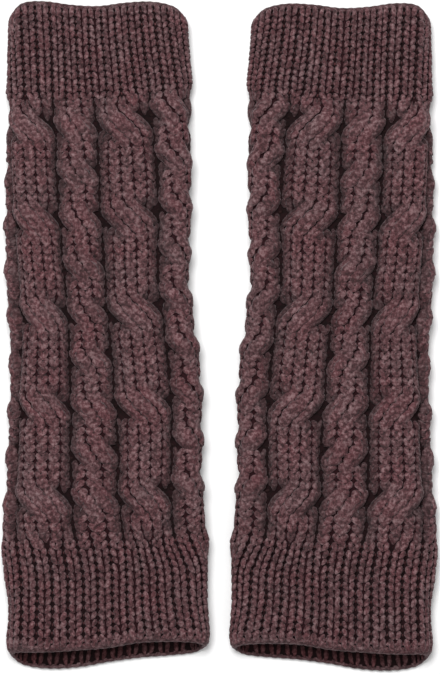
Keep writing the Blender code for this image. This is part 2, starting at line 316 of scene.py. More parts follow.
def crossing_at(panel, row):
    """The crossing nearest to each row of a panel: its number, the row's place in it from -1 to 1,
    how much one strand lies on the other there, how far each is on its way across, and how deep the
    strand beneath is buried."""
    kind = PANELS[panel]
    place = (row - BODY_START) / BODY_ROWS + (EARLY_BY if panel == EARLY_PANEL else 0.0)
    steps = STEPS_PER_CROSSING[kind] * CROSSING_STEP
    number = np.clip(np.round((place - FIRST_CROSSING) / steps), 0, LAST_CROSSING[kind]).astype(int)
    part = np.clip(2 * (place - FIRST_CROSSING - steps * number) / CROSSING_SPAN[kind], -1.0, 1.0)
    crossed = np.cos(part * math.pi / 2) ** 2
    way = (1 + np.sin(np.clip(OVER_HASTE * part, -1, 1) * math.pi / 2)) / 2
    under_way = (1 + np.sin(np.clip(UNDER_HASTE * part, -1, 1) * math.pi / 2)) / 2
    buried = 1 - smooth_step((np.abs(part) - BURIED_TO) / BURIED_SPAN)
    return Crossing(number, part, crossed, way, under_way, buried)


def grown(row):
    """How much of its height a cable has, as it grows out of the ribs and back into them."""
    place = (row - BODY_START) / BODY_ROWS
    return mix(LEAST_CABLE, 1.0, np.clip(np.minimum(place, 1 - place) / CUFF_FADE, 0.0, 1.0))


def strand_width(panel, over):
    """A strand's width as a share of its cable's."""
    kind = PANELS[panel]
    over_share = OVER_WALES[kind] / WALES[kind]
    return np.where(over, over_share, 1 - over_share)


def strand_middle(width, over, at):
    """The middle of a strand on its way across, from -1 at the cable's left edge to 1."""
    return np.where(over, -(1 - 2 * at.way), 1 - 2 * at.under_way) * (1 - width)


def position_in(wale, at):
    """A wale's place among its cable's wales before these crossings, from 0 at the left."""
    kind = PANELS[wale.panel]
    moved = WALES[kind] - OVER_WALES[kind]
    return (wale.number + at.number * moved) % WALES[kind]


Place = namedtuple("Place", "share height drop")  # across the panel, of the relief, in millimetres


def cable_half(kind, at):
    """Half a cable's width, as a share of its panel's."""
    return CABLE_SHARE[kind] * (1 - CABLE_PINCH * at.crossed) / 2


def cable_place(wale, across, row):
    """A place in one of a cable's wales.  across goes from -1 at the wale's left edge to 1."""
    kind = PANELS[wale.panel]
    at = crossing_at(wale.panel, row)
    position = position_in(wale, at)
    over = position < OVER_WALES[kind]
    width = strand_width(wale.panel, over)
    middle = strand_middle(width, over, at)
    first = np.where(over, 0, OVER_WALES[kind])
    in_strand = (2 * (position - first) + 1 + across) / (width * WALES[kind]) - 1
    flat_off, flat_height = walk(CABLE_SECTION[kind], middle + in_strand * width)
    strand_off, strand_height = walk(STRAND_SECTION[kind], in_strand)
    off = mix(flat_off, middle + strand_off * width * (1 + LEAN), at.crossed)
    lift = np.where(over, 1 + OVER_LIFT, 1.0)
    height = mix(flat_height, strand_height * lift, at.crossed)
    height = height * (1 + SIDE_DEPTH) - SIDE_DEPTH
    height = np.where(over, height, mix(height, UNDER_HEIGHT, at.buried))
    drop = np.where(over, 0.0, UNDER_SINK * at.buried)
    return Place(0.5 + off * cable_half(kind, at), height * grown(row), drop)


def cable_surface(panel, share, row):
    """The height of a cable's outside, as a share of the relief, whichever strand is on top."""
    kind = PANELS[panel]
    at = crossing_at(panel, row)
    off = (share - 0.5) / cable_half(kind, at)
    together = dome(off, 1.0, CABLE_DOME)
    heights = []
    for over in (True, False):
        width = strand_width(panel, over)
        middle = strand_middle(width, over, at)
        half = width * (1 + LEAN * at.crossed)
        alone = dome(off - middle, half, STRAND_DOME) * (1 + OVER_LIFT * over)
        height = mix(np.where(np.abs(off - middle) < half, together, 0.0), alone, at.crossed)
        heights.append(height if over else mix(height, 0.0, at.buried))
    return np.maximum(*heights) * grown(row)


def rim_rise(row):
    """The ribs run out into a plain band at each rim: 1 inside it, and less over its last rows."""
    inside = np.minimum(row, LAST_ROW - row)
    return mix(RIM_BAND_RISE, 1.0, smooth_step((inside - RIM_BAND_START) / RIM_BAND_ROWS))


def in_body(row):
    """0 in the cuffs, 1 in the body, and in between over a few rows at the joints."""
    start = smooth_step((row - BODY_START) / JOINT_SPAN + 0.5)
    end = smooth_step((BODY_END - row) / JOINT_SPAN + 0.5)
    return start * end


Wale = namedtuple("Wale", "panel number rib")


def wales_of(panel):
    return [Wale(panel, number, rib) for number, rib in enumerate(RIB_OF_WALE[PANELS[panel]])]


def passes_over(wale, at):
    """Whether a wale is in the strand on top at these crossings."""
    return position_in(wale, at) < OVER_WALES[PANELS[wale.panel]]


def out_of_sight(wale, row):
    """Whether a wale's stitches at these rows are under the strand that passes over them."""
    at = crossing_at(wale.panel, np.clip(row, BODY_START, BODY_END))
    return ~passes_over(wale, at) & (at.buried > OUT_OF_SIGHT)


def overshadowed(wale, row):
    """How much painted shade a wale's stitches at these rows get from a strand that passes over them."""
    at = crossing_at(wale.panel, np.clip(row, BODY_START, BODY_END))
    shade = 1 - smooth_step((np.abs(at.part) - SHADE_STARTS) / SHADE_SPAN)
    return np.where(passes_over(wale, at), 0.0, shade * in_body(row))


def wale_place(wale, across, row):
    """A place in a wale of knit stitches, as it runs from a cuff's rib through the body."""
    ribs = RIBS_IN[PANELS[wale.panel]]
    if wale.rib is None:
        rib_share = 0.5 + across * SPARE_WALE_WIDTH / ribs
        rib_height = SPARE_WALE_HEIGHT
    else:
        rib_share = (wale.rib + 0.5 + across * RIB_RIDGE / 2) / ribs
        rib_height = RIB_RISE * dome(across * RIB_TOP, 1.0, RIB_DOME) * rim_rise(row)
    cable = cable_place(wale, across, np.clip(row, BODY_START, BODY_END))
    body = in_body(row)
    share = mix(rib_share, cable.share, body)
    height = mix(rib_height, cable.height, body)
    return Place(share, height, cable.drop * body)


# ---------------------------------------------------------------- one leg of a stitch


Bead = namedtuple("Bead", "points corners face_starts uvs")
Copies = namedtuple("Copies", "points lit")  # lit is painted shade: from 0, darkest, deep between cables to 1 on top
Path = namedtuple("Path", "rows centre side out half straight bend")

# The yarn of a stitch:
#   long    half its length, in rows
#   wide    half its width, as a share of half a wale's
#   deep    half its thickness, in millimetres
#   lean    how far it leans in at the point of the V, as a share of half a wale's width
#   arch    how far its middle stands out, in millimetres
#   tilt    how far its end at the point of the V stands out, in millimetres
#   aside   how far it is from the middle of the V, as a share of half a wale's width
# Stitches that lie across the knit have their long, wide and lean in millimetres too.
Stitch = namedtuple("Stitch", "long wide deep lean arch tilt aside")
KNIT_LEG = Stitch(long=0.68, wide=0.54, deep=0.74, lean=0.68, arch=0.05, tilt=0.14, aside=0.42)
RIB_LEG = Stitch(long=0.61, wide=0.38, deep=0.80, lean=0.28, arch=0.12, tilt=0.12, aside=0.48)
CROSSED_LEG = Stitch(long=0.68, wide=0.53, deep=0.80, lean=0.30, arch=0.05, tilt=0.12, aside=0.47)
INSIDE_LEG = Stitch(long=0.66, wide=0.32, deep=0.60, lean=0.24, arch=0.05, tilt=0.10, aside=0.50)
PURL_BUMP = Stitch(long=1.10, wide=0.85, deep=0.75, lean=0.25, arch=0.30, tilt=0.0, aside=0.0)
CHAIN_LINK = Stitch(long=1.95, wide=0.95, deep=0.95, lean=0.55, arch=0.35, tilt=0.20, aside=0.0)
TAPER = 2.6  # the lower, the sooner a leg's width is drawn in towards its ends
BLUNT = 8  # the same for its thickness
OPEN_END = 0.25  # how far a leg leans outwards at the open end of the V, next to inwards at its point
SLANT_STRETCH = 0.4  # how much longer a leg gets where it lies right across
SLANT_NARROWS = 0.3  # the higher, the narrower it gets there
UNEVEN_PLACE = 0.07  # how far stitches stray from their rows and columns, in millimetres
UNEVEN_SIZE = 0.06
MOST_BEND = 0.30  # a leg drops at most this many millimetres for each square millimetre across
SHADE_STARTS = 0.50  # how far from a crossing's middle the painted shade on the strand beneath starts to fade
SHADE_SPAN = 0.50
SHADE_DEPTH = 0.80
LIT_HEIGHT = 0.85  # from this share of a cable's height up, its stitches are painted fully lit, with no painted shade

chance = np.random.default_rng(26)


def place_points(mesh, points):
    mesh.vertices.foreach_set("co", (points.reshape(-1) * MM).astype(np.float32))


def point_values(mesh, name, values):
    """A value at each point of a mesh, for its material."""
    layer = mesh.attributes.new(name, "FLOAT", "POINT")
    layer.data.foreach_set("value", values.ravel().astype(np.float32))


def edit_all(operator, **settings):
    """One step in edit mode, on the whole of the active mesh."""
    bpy.ops.object.mode_set(mode="EDIT")
    bpy.ops.mesh.select_all(action="SELECT")
    operator(**settings)
    bpy.ops.object.mode_set(mode="OBJECT")


def dress(mesh, material):
    mesh.shade_smooth()
    mesh.materials.clear()
    mesh.materials.append(material)


def model_bead(sides, rings):
    """A short length of yarn, full in the middle and drawn in at both ends.  Its length runs
    along Y from -1 to 1, and its width along X."""
    bpy.ops.mesh.primitive_uv_sphere_add(
        segments=sides, ring_count=rings, radius=1.0, location=(0, 0, 0), rotation=(-math.pi / 2, 0, 0)
    )
    yarn = bpy.context.object
    bpy.ops.object.transform_apply(location=False, rotation=True, scale=True)
    for vertex in yarn.data.vertices:
        x, y, z = vertex.co
        thick = math.hypot(x, z)
        if thick > 1e-6:
            wide = (1 - abs(y) ** TAPER) ** 0.6 / thick
            deep = (1 - y**BLUNT) ** 0.5 / thick
            vertex.co = (x * wide, y, z * deep)
    mesh = yarn.data
    points = np.array([vertex.co for vertex in mesh.vertices])
    corners = np.array([corner.vertex_index for corner in mesh.loops])
    starts = np.array([face.loop_start for face in mesh.polygons])
    uvs = np.array([corner.uv for corner in mesh.uv_layers[0].data])
    bpy.data.objects.remove(yarn)
    return Bead(points, corners, starts, uvs)


def unit(vectors):
    return vectors / np.maximum(np.linalg.norm(vectors, axis=-1, keepdims=True), 1e-9)


def path_rows(first, last, past, steps):
    """Rows for a path, this many to a stitch, from before the first stitch to past the last."""
    return np.linspace(first - past, last + past, round(steps * (last - first + 2 * past)) + 1)


def path_of(spot, rows, across, inside=False):
    """The line that a column of yarn follows over these rows: its points, the directions across and
    out of the knit at each, half the column's width there, how straight it runs down the tube, 1 or
    less, and how sharply the knit bends away to its sides.  spot gives (along, height) for a place
    across the column."""
    reach = 0.25
    centre = lay(rows, *spot(across, rows))
    left, right = (lay(rows, *spot(across + step, rows)) for step in (-reach, reach))
    sideways = right - left
    half = np.linalg.norm(sideways, axis=-1) / (2 * reach)
    onwards = np.gradient(centre, axis=0)
    out = unit(np.cross(onwards, sideways))
    side = unit(np.cross(out, onwards))
    sag = np.sum((centre - (left + right) / 2) * out, axis=-1)
    bend = np.clip(sag / (half * reach) ** 2, 0.0, MOST_BEND)
    if inside:
        out, side = -out, -side
    straight = np.abs(onwards[:, 1]) / np.maximum(np.linalg.norm(onwards, axis=-1), 1e-9)
    return Path(rows, centre, side, out, half, straight, bend)


def along_path(path, row):
    """A path's points and its directions across and out, at these rows."""
    lines = (path.centre, path.side, path.out)
    return [np.stack([np.interp(row, path.rows, axis) for axis in line.T], axis=-1) for line in lines]


def unevenness(count):
    """For each of so many stitches: how far it strays, sideways, outwards and onwards in
    millimetres, how much it leans, and its size."""
    stray = chance.normal(0.0, UNEVEN_PLACE, (4, count, 1))
    size = 1 + chance.normal(0.0, UNEVEN_SIZE, (count, 1))
    return stray[0], stray[1], stray[2], stray[3], size


def legs_along(bead, stitch, path, at_rows, mirror):
    """Copies of the bead along a path, one at each row.  mirror is -1 for the left leg of the V's and
    1 for the right one."""
    a, b, c = bead.points.T
    sideways, outwards, onwards, leaning, size = unevenness(len(at_rows))
    straight = np.interp(at_rows, path.rows, path.straight)[:, None]
    long = stitch.long * size * (1 + SLANT_STRETCH * (1 - straight))
    row = at_rows[:, None] + b[None, :] * long + onwards / ROW_PITCH
    half = np.interp(row, path.rows, path.half)
    hook = OPEN_END - (1 + OPEN_END) * ((1 + b) / 2) ** 2
    lean = mirror * stitch.lean * straight**2 * half * hook + leaning * b
    across = a * stitch.wide * half * straight**SLANT_NARROWS * size + sideways + lean
    round_side = np.interp(row, path.rows, path.bend) * across**2
    up = c * stitch.deep * size + outwards + stitch.arch * (1 - b * b) + stitch.tilt * b - round_side
    centre, side, out = along_path(path, row)
    return centre + side * across[..., None] + out * up[..., None]


def links_across(bead, stitch, path, at_rows, slant):
    """Copies of the bead that lie across a column, as a purl bump or a link of a chain does."""
    a, b, c = bead.points.T
    sideways, outwards, onwards, leaning, size = unevenness(len(at_rows))
    across = b * stitch.long * size + sideways
    ahead = a * stitch.wide * size + onwards + (slant * stitch.lean + leaning) * b
    up = c * stitch.deep * size + outwards + stitch.arch * (1 - b * b) + stitch.tilt * b * slant
    centre, side, out = along_path(path, at_rows[:, None])
    forwards = np.cross(side, out)
    return centre + side * across[..., None] + forwards * ahead[..., None] + out * up[..., None]


def in_the_open(points):
    """Copies that get no painted shade from a cable."""
    return Copies(points, np.ones(len(points)))


def joined_beads(name, bead, groups, material):
    """One mesh of all these copies of the bead, each with a tone of its own and its painted shade."""
    copies = np.concatenate([group.points for group in groups])
    lit = np.concatenate([group.lit for group in groups])
    copies[..., 2] = np.maximum(copies[..., 2], 0.0)
    count, size = len(copies), len(bead.points)
    step = np.arange(count)[:, None]
    corners = (bead.corners[None, :] + step * size).ravel()
    starts = (bead.face_starts[None, :] + step * len(bead.corners)).ravel()
    mesh = bpy.data.meshes.new(name)
    mesh.vertices.add(count * size)
    place_points(mesh, copies)
    mesh.loops.add(len(corners))
    mesh.loops.foreach_set("vertex_index", corners.astype(np.int32))
    mesh.polygons.add(len(starts))
    mesh.polygons.foreach_set("loop_start", starts.astype(np.int32))
    mesh.update(calc_edges=True)
    uv = mesh.uv_layers.new(name="YarnUV")
    uv.data.foreach_set("uv", np.tile(bead.uvs.ravel(), count).astype(np.float32))
    point_values(mesh, "stitch_tone", np.repeat(chance.uniform(0.0, 1.0, count), size))
    point_values(mesh, "stitch_lit", np.repeat(lit, size))
    dress(mesh, material)
    piece = bpy.data.objects.new(name, mesh)
    bpy.context.scene.collection.objects.link(piece)
    return piece


# ---------------------------------------------------------------- the stitches of one arm warmer


def leg_at(wale, row):
    """The leg of a knit stitch at these rows, as the ribs' legs grow into the cables' at a joint, and
    as the cables' legs are drawn out side by side where their strands cross."""
    share = in_body(row)
    crossed = share * crossing_at(wale.panel, row).crossed
    legs = zip(RIB_LEG, KNIT_LEG, CROSSED_LEG)
    return Stitch(*(mix(mix(rib, knit, share), drawn, crossed) for rib, knit, drawn in legs))


def shallow(panel, rib):
    return SHALLOW_RIBS.get((panel, rib), 0.0)


def stitch_rows(first, last):
    """The middles of the stitches from one row to another, with the last ones clear of the rims."""
    return np.clip(np.arange(first, last) + 0.5, RIM_LEG, LAST_ROW - RIM_LEG)


def wale_legs(bead, wale, first, last):
    """The two legs of every knit stitch of a wale, from one row to another."""

    def spot(across, row):
        tube = round_at(row)
        place = wale_place(wale, across, row)
        along = along_panel(tube, wale.panel, place.share)
        stands = standing(tube, along)
        return along, place.height * tube.relief * stands - place.drop * (1 - stands) - YARN_DEEP

    rows = path_rows(first, last, 1.5, 8)
    at_rows = stitch_rows(first, last)
    at_rows = at_rows[~out_of_sight(wale, at_rows)]
    leg = leg_at(wale, at_rows[:, None])
    apart = leg_at(wale, rows).aside + SHALLOW_APART * shallow(wale.panel, wale.rib) * (1 - in_body(rows))
    groups = []
    for side in (-1, 1):
        path = path_of(spot, rows, side * apart)
        # Painted shade: stitches low on a cable's sides, and those under a strand that passes over, are
        # made darker
        height = wale_place(wale, side * leg.aside[:, 0], at_rows).height
        lit = mix(1.0, smooth_step(height / LIT_HEIGHT), in_body(at_rows))
        lit = lit * (1 - SHADE_DEPTH * overshadowed(wale, at_rows))
        groups.append(Copies(legs_along(bead, leg, path, at_rows, side), lit))
    return groups


def valley_spot(panel, share, height):
    def spot(across, row):
        tube = round_at(row)
        along = along_panel(tube, panel, share) + across
        return along, np.full_like(along, height)

    return spot


def purl_column(bead, panel, share, height, first, last):
    rows = path_rows(first, last, 1.0, 4)
    path = path_of(valley_spot(panel, share, height), rows, 0.0)
    return in_the_open(links_across(bead, PURL_BUMP, path, np.arange(first, last) + 0.5, 1))


GUTTER_YARN = -1.50  # the middle of the purl stitches, under the wall's plain surface
VALLEY_YARN = -1.35


def gutter_purls(bead, panel):
    """The purl stitches between this panel's cable and the one on its left."""
    return purl_column(bead, panel, 0.0, GUTTER_YARN, BODY_START, BODY_END)


def valley_purls(bead, panel):
    """The purl stitches in the valleys between the ribs of both cuffs."""
    ribs = RIBS_IN[PANELS[panel]]
    cuffs = ((1, BODY_START), (BODY_END, LAST_ROW - 1))
    groups = []
    for n in range(ribs):
        height = mix(VALLEY_YARN, SHALLOW_YARN, shallow(panel, n))
        groups += [purl_column(bead, panel, n / ribs, height, *cuff) for cuff in cuffs]
    return groups


CHAIN_LINES = ((1.45, 1), (0.85, -1))  # rows inside the rim, and which way the links slant
CHAIN_YARN = -0.75
CHAIN_STAGGER = 0.2


def arm_chain(bead):
    """The chain along the arm end, two slanting links to each stitch of the round."""
    groups = []
    for panel, kind in enumerate(PANELS):
        stitches = 2 * RIBS_IN[kind]
        for n in range(stitches):
            for inside, slant in CHAIN_LINES:
                row = LAST_ROW - inside
                share = (n + 0.5 + CHAIN_STAGGER * slant) / stitches
                spot = valley_spot(panel, share, CHAIN_YARN)
                path = path_of(spot, np.array([row - 0.5, row, row + 0.5]), 0.0)
                groups.append(in_the_open(links_across(bead, CHAIN_LINK, path, np.array([row]), slant)))
    return groups


CORD_ROW = 0.42  # the middle of the rolled edge, in rows inside the rim
CORD_THICK = 1.25  # half its thickness
CORD_TURNS = 50  # how often its yarn comes round
CORD_RIDGE = 0.08
CORD_STEPS = 5 * CORD_TURNS
CORD_SIDES = 10
EDGE_TONE = 0.4
EDGE_LIT = 0.40  # painted shade, as it curls away from the light


def rolled_edge(name, rim, inwards, material):
    """The rolled edge that ends the knit at a rim, a ring with the slanting ridges of its stitches."""
    bpy.ops.mesh.primitive_torus_add(
        major_segments=CORD_STEPS, minor_segments=CORD_SIDES, major_radius=0.1, minor_radius=0.01
    )
    edge = bpy.context.object
    edge.name = edge.data.name = name
    way = np.arange(CORD_STEPS)[:, None] / CORD_STEPS
    turn = 2 * math.pi * np.arange(CORD_SIDES)[None, :] / CORD_SIDES
    thick = CORD_THICK * (1 + CORD_RIDGE * np.sin(2 * math.pi * CORD_TURNS * way + turn))
    row = rim + inwards * (CORD_ROW + thick * np.cos(turn) / ROW_PITCH)
    tube = round_at(row)
    points = lay(row, mix(tube.edges[0], tube.edges[-1], way), thick * np.sin(turn) - WALL / 2)
    points[..., 2] = np.maximum(points[..., 2], 0.0)
    place_points(edge.data, points)
    edit_all(bpy.ops.mesh.normals_make_consistent, inside=False)
    point_values(edge.data, "stitch_tone", np.full(points.shape[:2], EDGE_TONE))
    point_values(edge.data, "stitch_lit", np.full(points.shape[:2], EDGE_LIT))
    dress(edge.data, material)
    return edge


RIBS_ROUND = sum(RIBS_IN[kind] for kind in PANELS)
INSIDE_YARN = -WALL - 0.1
INSIDE_APART = 0.5


def inside_legs(bead, panel, first, last):
    """The ribs as they show inside the tube, where each valley outside is a ridge."""
    groups = []
    ribs = RIBS_IN[PANELS[panel]]
    rows = path_rows(first, last, 1.0, 4)
    at_rows = stitch_rows(first, last)
    for valley in range(ribs):

        def spot(across, row, share=valley / ribs):
            tube = round_at(row)
            along = along_panel(tube, panel, share) + across * tube.length / (2 * RIBS_ROUND)
            return along, np.full_like(along, INSIDE_YARN)

        for side in (-1, 1):
            path = path_of(spot, rows, side * INSIDE_APART, inside=True)
            groups.append(in_the_open(legs_along(bead, INSIDE_LEG, path, at_rows, -side)))
    return groups


# ---------------------------------------------------------------- the knitted wall


CUFF_RINGS = 15
INSIDE_RINGS = 40
POINTS_TO_A_RIB = 4
VALLEY_REACH = 1.02  # past 1, so that the wall isn't down to its plain surface in a valley
PROUD_FROM = 0.25  # up from this share of the relief the wall counts as part of a rib or cable, where its painted shade is maroon rather than black
PROUD_SPAN = 0.45


def wall_rows():
    cuff = np.linspace(CORD_ROW, BODY_START, CUFF_RINGS)
    body = np.linspace(BODY_START, BODY_END, 2 * BODY_ROWS + 1)
    arm = np.linspace(BODY_END, LAST_ROW - CORD_ROW, CUFF_RINGS)
    return np.concatenate([cuff[:-1], body, arm[1:]])


def outer_points(rows):
    """Rings of the wall's outside, with as many points to a cable as to its ribs, and how proud each point
    stands, from 0 in the valleys to 1, which sets how black the wall's painted shade is."""
    tube = round_at(rows)
    body_rows = np.clip(rows, BODY_START, BODY_END)
    columns = []
    proud = []
    for panel, kind in enumerate(PANELS):
        count = POINTS_TO_A_RIB * RIBS_IN[kind]
        for n in range(count):
            share = n / count
            along = along_panel(tube, panel, share)
            on_rib = 2 * (n % POINTS_TO_A_RIB) / POINTS_TO_A_RIB - 1
            rib = RIB_RISE * dome(on_rib, VALLEY_REACH, RIB_DOME) * rim_rise(rows)
            height = mix(rib, cable_surface(panel, share, body_rows), in_body(rows))
            raised = WALL_RELIEF * height * tube.relief * standing(tube, along)
            columns.append(lay(rows, along, raised - WALL_UNDER_YARN))
            proud.append(smooth_step((height - PROUD_FROM) / PROUD_SPAN))
    return np.stack(columns, axis=1), np.stack(proud, axis=1)


def inner_points(rows, count):
    tube = round_at(rows)
    ways_round = (mix(tube.edges[0], tube.edges[-1], n / count) for n in range(count))
    return np.stack([lay(rows, along, np.full_like(along, -WALL)) for along in ways_round], axis=1)


def tube_of(name, points, proud):
    """A grid of faces laid on rings of points, its two long sides merged so that it goes round."""
    rings, count = points.shape[:2]
    bpy.ops.mesh.primitive_grid_add(x_subdivisions=count, y_subdivisions=rings - 1, size=1.0)
    tube = bpy.context.object
    tube.name = tube.data.name = name
    place_points(tube.data, np.concatenate([points, points[:, :1]], axis=1))
    point_values(tube.data, "stands_proud", np.concatenate([proud, proud[:, :1]], axis=1))
    edit_all(bpy.ops.mesh.remove_doubles, threshold=1e-6)
    return tube


def knitted_wall(name, material):
    """The wall as one closed shell: a tube for its outside, a plain one for its inside, and a
    bridge of faces between them round each rim."""
    outside, proud = outer_points(wall_rows())
    inside = inner_points(np.linspace(CORD_ROW, LAST_ROW - CORD_ROW, INSIDE_RINGS), outside.shape[1])
    wall = tube_of(name, outside, proud)
    lining = tube_of(f"{name}_inside", inside, np.zeros(inside.shape[:2]))
    lining.select_set(True)
    wall.select_set(True)
    bpy.context.view_layer.objects.active = wall
    bpy.ops.object.join()
    for at_hand_end in (True, False):
        bpy.ops.object.mode_set(mode="EDIT")
        bpy.ops.mesh.select_mode(type="EDGE")
        bpy.ops.mesh.select_all(action="DESELECT")
        bpy.ops.mesh.select_non_manifold()
        bpy.ops.object.mode_set(mode="OBJECT")
        for edge in wall.data.edges:
            middle = sum(wall.data.vertices[n].co.y for n in edge.vertices)
            edge.select = edge.select and (middle > 0) == at_hand_end
        bpy.ops.object.mode_set(mode="EDIT")
        bpy.ops.mesh.bridge_edge_loops()
        bpy.ops.object.mode_set(mode="OBJECT")
    edit_all(bpy.ops.mesh.normals_make_consistent, inside=False)
    dress(wall.data, material)
    return wall


# ---------------------------------------------------------------- yarn


YARN_PALE = (0.168, 0.099, 0.103, 1.0)
YARN_MAUVE = (0.078, 0.029, 0.033, 1.0)
YARN_BROWN = (0.030, 0.012, 0.013, 1.0)
# The same yarn darkened with painted shade, for the purl stitches in the valleys and the ribs inside the
# tube, and painted black shade for the wall in the valleys
VALLEY_SHADE_PALE = (0.096, 0.044, 0.046, 1.0)
VALLEY_SHADE_MAUVE = (0.058, 0.021, 0.023, 1.0)
VALLEY_SHADE_BROWN = (0.030, 0.011, 0.012, 1.0)
VALLEY_SHADE_BLACK = (0.013, 0.004, 0.005, 1.0)
# Darker painted shade for the purl stitches in the gutters between cables; the blackest one also paints
# shade on the wall in the valleys
GUTTER_SHADE_BROWN = (0.020, 0.009, 0.009, 1.0)
GUTTER_SHADE_DARK = (0.011, 0.005, 0.005, 1.0)
GUTTER_SHADE_BLACK = (0.006, 0.003, 0.003, 1.0)
# Painted shade on the wall behind the stitches, maroon where it shows through a cable's gaps
GAP_SHADE_MAROON = (0.021, 0.006, 0.008, 1.0)
GAP_SHADE_DARK = (0.014, 0.003, 0.004, 1.0)
FLECK_SCALE = 620.0
DRIFT_SCALE = 90.0
FIBRE_SCALE = 2600.0
TONES = (0.85, 1.15)  # how bright the darkest and the palest stitches are
DEEP_VALUE = 0.45  # how bright the painted shade leaves a stitch deep between two cables
LIT_VALUE = 1.08  # and one out in the light


def linked_node(tree, kind, feeds=(), **values):
    """A new node with these values in its inputs, fed from (socket, input name) pairs."""
    made = tree.nodes.new(kind)
    for name, value in values.items():
        made.inputs[name.replace("_", " ")].default_value = value
    for socket, name in feeds:
        tree.links.new(socket, made.inputs[name])
    return made


def wool_shader(name):
    material = bpy.data.materials.new(name)
    material.use_nodes = True
    tree = material.node_tree
    shader = tree.nodes["Principled BSDF"]
    shader.inputs["Roughness"].default_value = 0.85
    shader.inputs["Specular IOR Level"].default_value = 0.30
    shader.inputs["Sheen Weight"].default_value = 0.14
    shader.inputs["Sheen Roughness"].default_value = 0.45
    shader.inputs["Sheen Tint"].default_value = (0.90, 0.72, 0.75, 1.0)
    place = tree.nodes.new("ShaderNodeTexCoord").outputs["Object"]
    return material, tree, shader, place


def noise(tree, place, **values):
    return linked_node(tree, "ShaderNodeTexNoise", [(place, "Vector")], **values).outputs["Fac"]


def heather(tree, flecks, dark, light, *between):
    """Flecks of fibre.  Each colour comes with the strength of the flecks at which it is reached."""
    ramp = linked_node(tree, "ShaderNodeValToRGB", [(flecks, "Fac")])
    stops = ramp.color_ramp.elements
    stops[0].position, stops[0].color = dark
    stops[1].position, stops[1].color = light
    for position, colour in between:
        stops.new(position).color = colour
    return ramp.outputs["Color"]


def fuzz(tree, place):
    """The yarn's short loose fibres, as fine bumps."""
    height = [(noise(tree, place, Scale=FIBRE_SCALE, Detail=2.0, Roughness=0.6), "Height")]
    return linked_node(tree, "ShaderNodeBump", height, Strength=0.35, Distance=0.0002).outputs["Normal"]


def attribute(tree, name):
    node = tree.nodes.new("ShaderNodeAttribute")
    node.attribute_name = name
    return node.outputs["Fac"]


def spread(tree, socket, low, high, **values):
    """A value from low to high, as the socket's goes from 0 to 1 or from From_Min to From_Max."""
    node = linked_node(tree, "ShaderNodeMapRange", [(socket, "Value")], To_Min=low, To_Max=high, **values)
    return node.outputs["Result"]


def yarn_material(name, brown, mauve, pale):
    """Heathered yarn, each stitch a little paler or darker, with painted shade from its stitch_lit and the
    twist of its plies.
    """
    material, tree, shader, place = wool_shader(name)
    toned = spread(tree, attribute(tree, "stitch_tone"), *TONES)
    shaded = spread(tree, attribute(tree, "stitch_lit"), DEEP_VALUE, LIT_VALUE)
    value = tree.nodes.new("ShaderNodeMath")
    value.operation = "MULTIPLY"
    tree.links.new(toned, value.inputs[0])
    tree.links.new(shaded, value.inputs[1])
    drift = noise(tree, place, Scale=DRIFT_SCALE, Detail=1.0)
    richness = spread(tree, drift, 0.90, 1.10, From_Min=0.3, From_Max=0.7)
    flecks = noise(tree, place, Scale=FLECK_SCALE, Detail=3.0, Roughness=0.65)
    colour = heather(tree, flecks, (0.36, brown), (0.66, pale), (0.49, mauve))
    feeds = [(colour, "Color"), (value.outputs["Value"], "Value"), (richness, "Saturation")]
    shade = linked_node(tree, "ShaderNodeHueSaturation", feeds)
    tree.links.new(shade.outputs["Color"], shader.inputs["Base Color"])
    tree.links.new(plied(tree, place), shader.inputs["Normal"])
    return material


def plied(tree, place):
    """The twist of the yarn's plies, with its fuzz, as a normal."""
    round_yarn = tree.nodes.new("ShaderNodeUVMap")
    round_yarn.uv_map = "YarnUV"
    way_round = [(round_yarn.outputs["UV"], "Vector")]
    turned = linked_node(tree, "ShaderNodeMapping", way_round, Scale=(2.0, 3.0, 1.0))
    bands = [(turned.outputs["Vector"], "Vector")]
    plies = linked_node(tree, "ShaderNodeTexWave", bands, Scale=1.0, Distortion=0.6, Detail=1.0)
    plies.bands_direction = "DIAGONAL"
    feeds = [(plies.outputs["Fac"], "Height"), (fuzz(tree, place), "Normal")]
    return linked_node(tree, "ShaderNodeBump", feeds, Strength=0.5, Distance=0.0003).outputs["Normal"]


def dulled(material):
    """The same material where little light gets in."""
    shader = material.node_tree.nodes["Principled BSDF"]
    shader.inputs["Sheen Weight"].default_value = 0.0
    shader.inputs["Specular IOR Level"].default_value = 0.10
    return material


MIX_LOW, MIX_HIGH, MIX_COLOUR = 6, 7, 2  # a Mix node's sockets for colours


def wall_material():
    """The yarn behind the stitches, in painted shade: a dark maroon where it shows in the gaps of a cable,
    and darker still in the valleys.
    """
    material, tree, shader, place = wool_shader("painted_shade_behind_the_stitches")
    flecks = noise(tree, place, Scale=FLECK_SCALE, Detail=3.0)
    low = heather(tree, flecks, (0.35, GUTTER_SHADE_BLACK), (0.68, VALLEY_SHADE_BLACK))
    high = heather(tree, flecks, (0.35, GAP_SHADE_DARK), (0.68, GAP_SHADE_MAROON))
    shade = tree.nodes.new("ShaderNodeMix")
    shade.data_type = "RGBA"
    tree.links.new(attribute(tree, "stands_proud"), shade.inputs["Factor"])
    tree.links.new(low, shade.inputs[MIX_LOW])
    tree.links.new(high, shade.inputs[MIX_HIGH])
    tree.links.new(shade.outputs[MIX_COLOUR], shader.inputs["Base Color"])
    tree.links.new(fuzz(tree, place), shader.inputs["Normal"])
    return dulled(material)


# ---------------------------------------------------------------- both arm warmers


TOP_CABLES = ("side_cable", "left_wide_cable", "middle_cable", "right_wide_cable", "far_side_cable")
UNDER_CABLES = ("under_right_wide_cable", "under_middle_cable", "under_left_wide_cable")
FIRST_UNDER_PANEL = len(TOP_CABLES)
INSIDE_SPANS = ((LAST_ROW - 8, LAST_ROW), (0, 4))  # the rows whose inside can be seen


